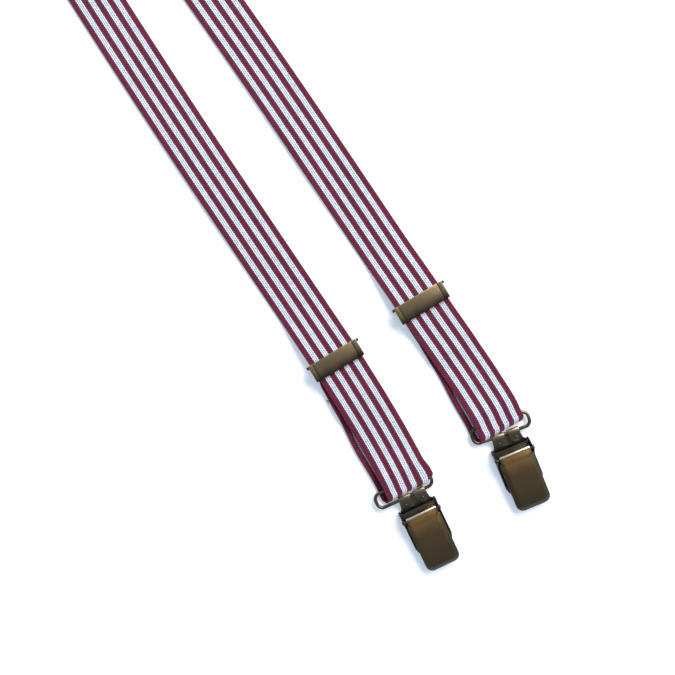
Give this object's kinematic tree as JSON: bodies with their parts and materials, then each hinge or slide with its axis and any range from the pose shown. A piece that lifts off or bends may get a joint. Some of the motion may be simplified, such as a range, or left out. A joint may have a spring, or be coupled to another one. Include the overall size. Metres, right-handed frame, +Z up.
{
  "type": "suspenders",
  "caption": "Y-back elastic suspenders of narrow striped webbing with slide adjusters, wire rings and metal lever clips at the three ends.",
  "frame": {"origin": "middle of the whole outline on the surface that the suspenders lie on", "axes": "+Y from the front clips towards the back patch and the back clip, +X to the right with the outer faces up, +Z up"},
  "size_m": [0.0892, 1.0731, 0.0074],
  "materials": {
    "webbing": "ribbed elastic webbing, burgundy with four white stripes",
    "brass_cover": "antique brass, dark in the hollows and rubbed bright at the edges",
    "brass_frame": "antique brass, dull",
    "grip_pad": "matt black ribbed grip pad",
    "leather": "brown grained leather with a darker edge",
    "thread_white": "polyester sewing thread",
    "thread_cream": "waxed thread"
  },
  "bodies": {
    "root": {"left_strap": "webbing", "right_strap": "webbing", "back_strap": "webbing", "back_end_stitching": "thread_white", "patch_lining": "leather", "patch_leather": "leather", "patch_stitching": "thread_cream"},
    "left_adjuster": {"left_adjuster_frame": "brass_frame", "left_adjuster_pin": "brass_frame", "left_sewn_end": "webbing", "left_end_stitching": "thread_white", "left_loop_front": "webbing", "left_loop_return": "webbing"},
    "left_adjuster_plate": {"left_adjuster_lever": "brass_cover"},
    "left_loop_end": {"left_loop_fold": "webbing"},
    "left_ring": {"left_clip_ring": "brass_frame"},
    "left_clip": {"left_clip_base": "brass_frame", "left_clip_pin": "brass_frame", "left_back_pad": "grip_pad"},
    "left_lever": {"left_clip_lever": "brass_cover"},
    "left_jaw": {"left_clip_jaw": "brass_frame", "left_front_pad": "grip_pad"},
    "right_adjuster": {"right_adjuster_frame": "brass_frame", "right_adjuster_pin": "brass_frame", "right_sewn_end": "webbing", "right_end_stitching": "thread_white", "right_loop_front": "webbing", "right_loop_return": "webbing"},
    "right_adjuster_plate": {"right_adjuster_lever": "brass_cover"},
    "right_loop_end": {"right_loop_fold": "webbing"},
    "right_ring": {"right_clip_ring": "brass_frame"},
    "right_clip": {"right_clip_base": "brass_frame", "right_clip_pin": "brass_frame", "right_back_pad": "grip_pad"},
    "right_lever": {"right_clip_lever": "brass_cover"},
    "right_jaw": {"right_clip_jaw": "brass_frame", "right_front_pad": "grip_pad"},
    "back_ring": {"back_clip_ring": "brass_frame"},
    "back_clip": {"back_clip_base": "brass_frame", "back_clip_pin": "brass_frame", "back_back_pad": "grip_pad"},
    "back_lever": {"back_clip_lever": "brass_cover"},
    "back_jaw": {"back_clip_jaw": "brass_frame", "back_front_pad": "grip_pad"}
  },
  "joints": [
    {"name": "left_adjuster_slide", "type": "slide", "parent": "root", "child": "left_adjuster", "axis": [0, -1, 0], "range_m": [-0.2, 0.04], "deforming": ["left_strap"]},
    {"name": "left_loop_shift", "type": "slide", "parent": "left_adjuster", "child": "left_loop_end", "axis": [0, -1, 0], "range_m": [-0.02, 0.1], "deforming": ["left_loop_front", "left_loop_return"]},
    {"name": "left_adjuster_flip", "type": "hinge", "parent": "left_adjuster", "child": "left_adjuster_plate", "pos_m": [-0.02262, -0.4147, 0.00575], "axis": [-0.9986, 0.0523, 0], "range_deg": [0, 95]},
    {"name": "left_ring_swing", "type": "hinge", "parent": "left_loop_end", "child": "left_ring", "pos_m": [-0.02827, -0.48866, 0.0023], "axis": [-0.989, 0.1478, 0], "range_deg": [0, 60], "deforming": ["left_loop_fold"]},
    {"name": "left_clip_swing", "type": "hinge", "parent": "left_ring", "child": "left_clip", "pos_m": [-0.02939, -0.49618, 0.0023], "axis": [-0.989, 0.1478, 0], "range_deg": [0, 45]},
    {"name": "left_clip_lever_flip", "type": "hinge", "parent": "left_clip", "child": "left_lever", "pos_m": [-0.0308, -0.50699, 0.0052], "axis": [-0.989, 0.1478, 0], "range_deg": [0, 95]},
    {"name": "left_clip_jaw_open", "type": "hinge", "parent": "left_clip", "child": "left_jaw", "pos_m": [-0.03029, -0.50353, 0.0022], "axis": [-0.989, 0.1478, 0], "range_deg": [0, 9.5]},
    {"name": "right_adjuster_slide", "type": "slide", "parent": "root", "child": "right_adjuster", "axis": [0, -1, 0], "range_m": [-0.2, 0.04], "deforming": ["right_strap"]},
    {"name": "right_loop_shift", "type": "slide", "parent": "right_adjuster", "child": "right_loop_end", "axis": [0, -1, 0], "range_m": [-0.02, 0.1], "deforming": ["right_loop_front", "right_loop_return"]},
    {"name": "right_adjuster_flip", "type": "hinge", "parent": "right_adjuster", "child": "right_adjuster_plate", "pos_m": [0.02938, -0.4147, 0.00575], "axis": [-0.9986, 0.0523, 0], "range_deg": [0, 95]},
    {"name": "right_ring_swing", "type": "hinge", "parent": "right_loop_end", "child": "right_ring", "pos_m": [0.02814, -0.48964, 0.0023], "axis": [-0.9703, 0.2419, 0], "range_deg": [0, 60], "deforming": ["right_loop_fold"]},
    {"name": "right_clip_swing", "type": "hinge", "parent": "right_ring", "child": "right_clip", "pos_m": [0.0263, -0.49702, 0.0023], "axis": [-0.9703, 0.2419, 0], "range_deg": [0, 45]},
    {"name": "right_clip_lever_flip", "type": "hinge", "parent": "right_clip", "child": "right_lever", "pos_m": [0.02529, -0.50799, 0.0052], "axis": [-0.9799, 0.1994, 0], "range_deg": [0, 95]},
    {"name": "right_clip_jaw_open", "type": "hinge", "parent": "right_clip", "child": "right_jaw", "pos_m": [0.02599, -0.50456, 0.0022], "axis": [-0.9799, 0.1994, 0], "range_deg": [0, 9.5]},
    {"name": "back_ring_swing", "type": "hinge", "parent": "root", "child": "back_ring", "pos_m": [0.0032, 0.4891, 0.0023], "axis": [1, 0, 0], "range_deg": [0, 60], "deforming": ["back_strap"]},
    {"name": "back_clip_swing", "type": "hinge", "parent": "back_ring", "child": "back_clip", "pos_m": [0.0032, 0.4967, 0.0023], "axis": [1, 0, 0], "range_deg": [0, 45]},
    {"name": "back_clip_lever_flip", "type": "hinge", "parent": "back_clip", "child": "back_lever", "pos_m": [0.0032, 0.5076, 0.0052], "axis": [1, 0, 0], "range_deg": [0, 95]},
    {"name": "back_clip_jaw_open", "type": "hinge", "parent": "back_clip", "child": "back_jaw", "pos_m": [0.0032, 0.5041, 0.0022], "axis": [1, 0, 0], "range_deg": [0, 9.5]}
  ],
  "couplings": [
    {"joint": "left_loop_shift", "follows": "left_adjuster_slide", "ratio": -0.5},
    {"joint": "left_clip_jaw_open", "follows": "left_clip_lever_flip", "ratio": 0.1},
    {"joint": "right_loop_shift", "follows": "right_adjuster_slide", "ratio": -0.5},
    {"joint": "right_clip_jaw_open", "follows": "right_clip_lever_flip", "ratio": 0.1},
    {"joint": "back_clip_jaw_open", "follows": "back_clip_lever_flip", "ratio": 0.1}
  ]
}
